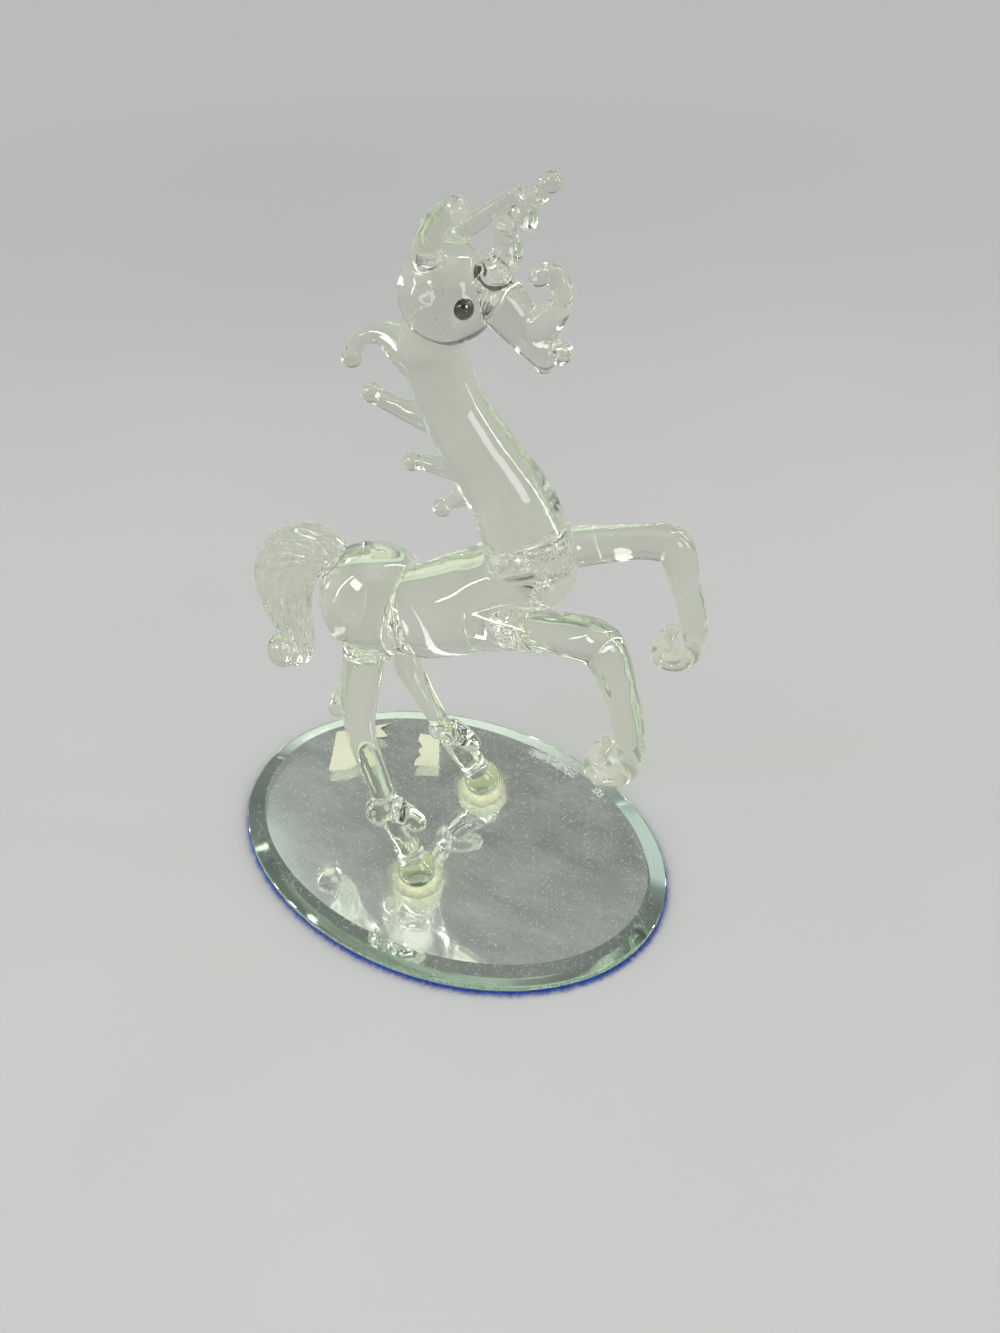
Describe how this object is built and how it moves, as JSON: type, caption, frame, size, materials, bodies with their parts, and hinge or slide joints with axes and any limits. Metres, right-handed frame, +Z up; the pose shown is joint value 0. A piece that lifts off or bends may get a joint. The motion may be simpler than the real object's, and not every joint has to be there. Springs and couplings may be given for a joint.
{
  "type": "glass unicorn figurine",
  "caption": "Clear flame-worked glass unicorn rearing on an oval bevelled mirror base with blue felt under it; a free-standing ornament.",
  "frame": {"origin": "middle of the felt underside, where the base rests", "axes": "+X the way the unicorn faces, along the oval's long axis; +Y its left side; +Z up"},
  "size_m": [0.1, 0.07, 0.1505],
  "materials": {
    "clear_glass": "fire polished, clear with a faint yellow-green tint",
    "black_glass": "fire polished, opaque black",
    "plate_glass": "polished float glass, green at the edge",
    "silvering": "silvered face with a painted back",
    "felt": "napped felt, royal blue",
    "glue": "set clear glue, yellowed",
    "paper": "matt, torn, bare"
  },
  "bodies": {
    "root": {"felt_pad": "felt", "mirror_backing": "silvering", "mirror_plate": "plate_glass", "label_end_left": "paper", "label_end_right": "paper", "hindquarters": "clear_glass", "barrel": "clear_glass", "neck": "clear_glass", "head": "clear_glass", "eye_right": "black_glass", "eye_left": "black_glass", "muzzle": "clear_glass", "upper_lip": "clear_glass", "lower_lip": "clear_glass", "nose_curl": "clear_glass", "horn": "clear_glass", "ear_right": "clear_glass", "ear_left": "clear_glass", "mane_curl_1": "clear_glass", "mane_curl_2": "clear_glass", "mane_curl_3": "clear_glass", "mane_curl_4": "clear_glass", "tail": "clear_glass", "front_leg_right": "clear_glass", "front_leg_left": "clear_glass", "front_hoof_right": "clear_glass", "front_hoof_left": "clear_glass", "hind_leg_right": "clear_glass", "hind_leg_left": "clear_glass", "hock_drop_right": "clear_glass", "hock_drop_left": "clear_glass", "fetlock_bead_right": "clear_glass", "fetlock_bead_left": "clear_glass", "fetlock_spur_right": "clear_glass", "fetlock_spur_left": "clear_glass", "pastern_right": "clear_glass", "pastern_left": "clear_glass", "hind_hoof_right": "clear_glass", "hind_hoof_left": "clear_glass", "glue_right": "glue", "glue_left": "glue"}
  },
  "joints": []
}
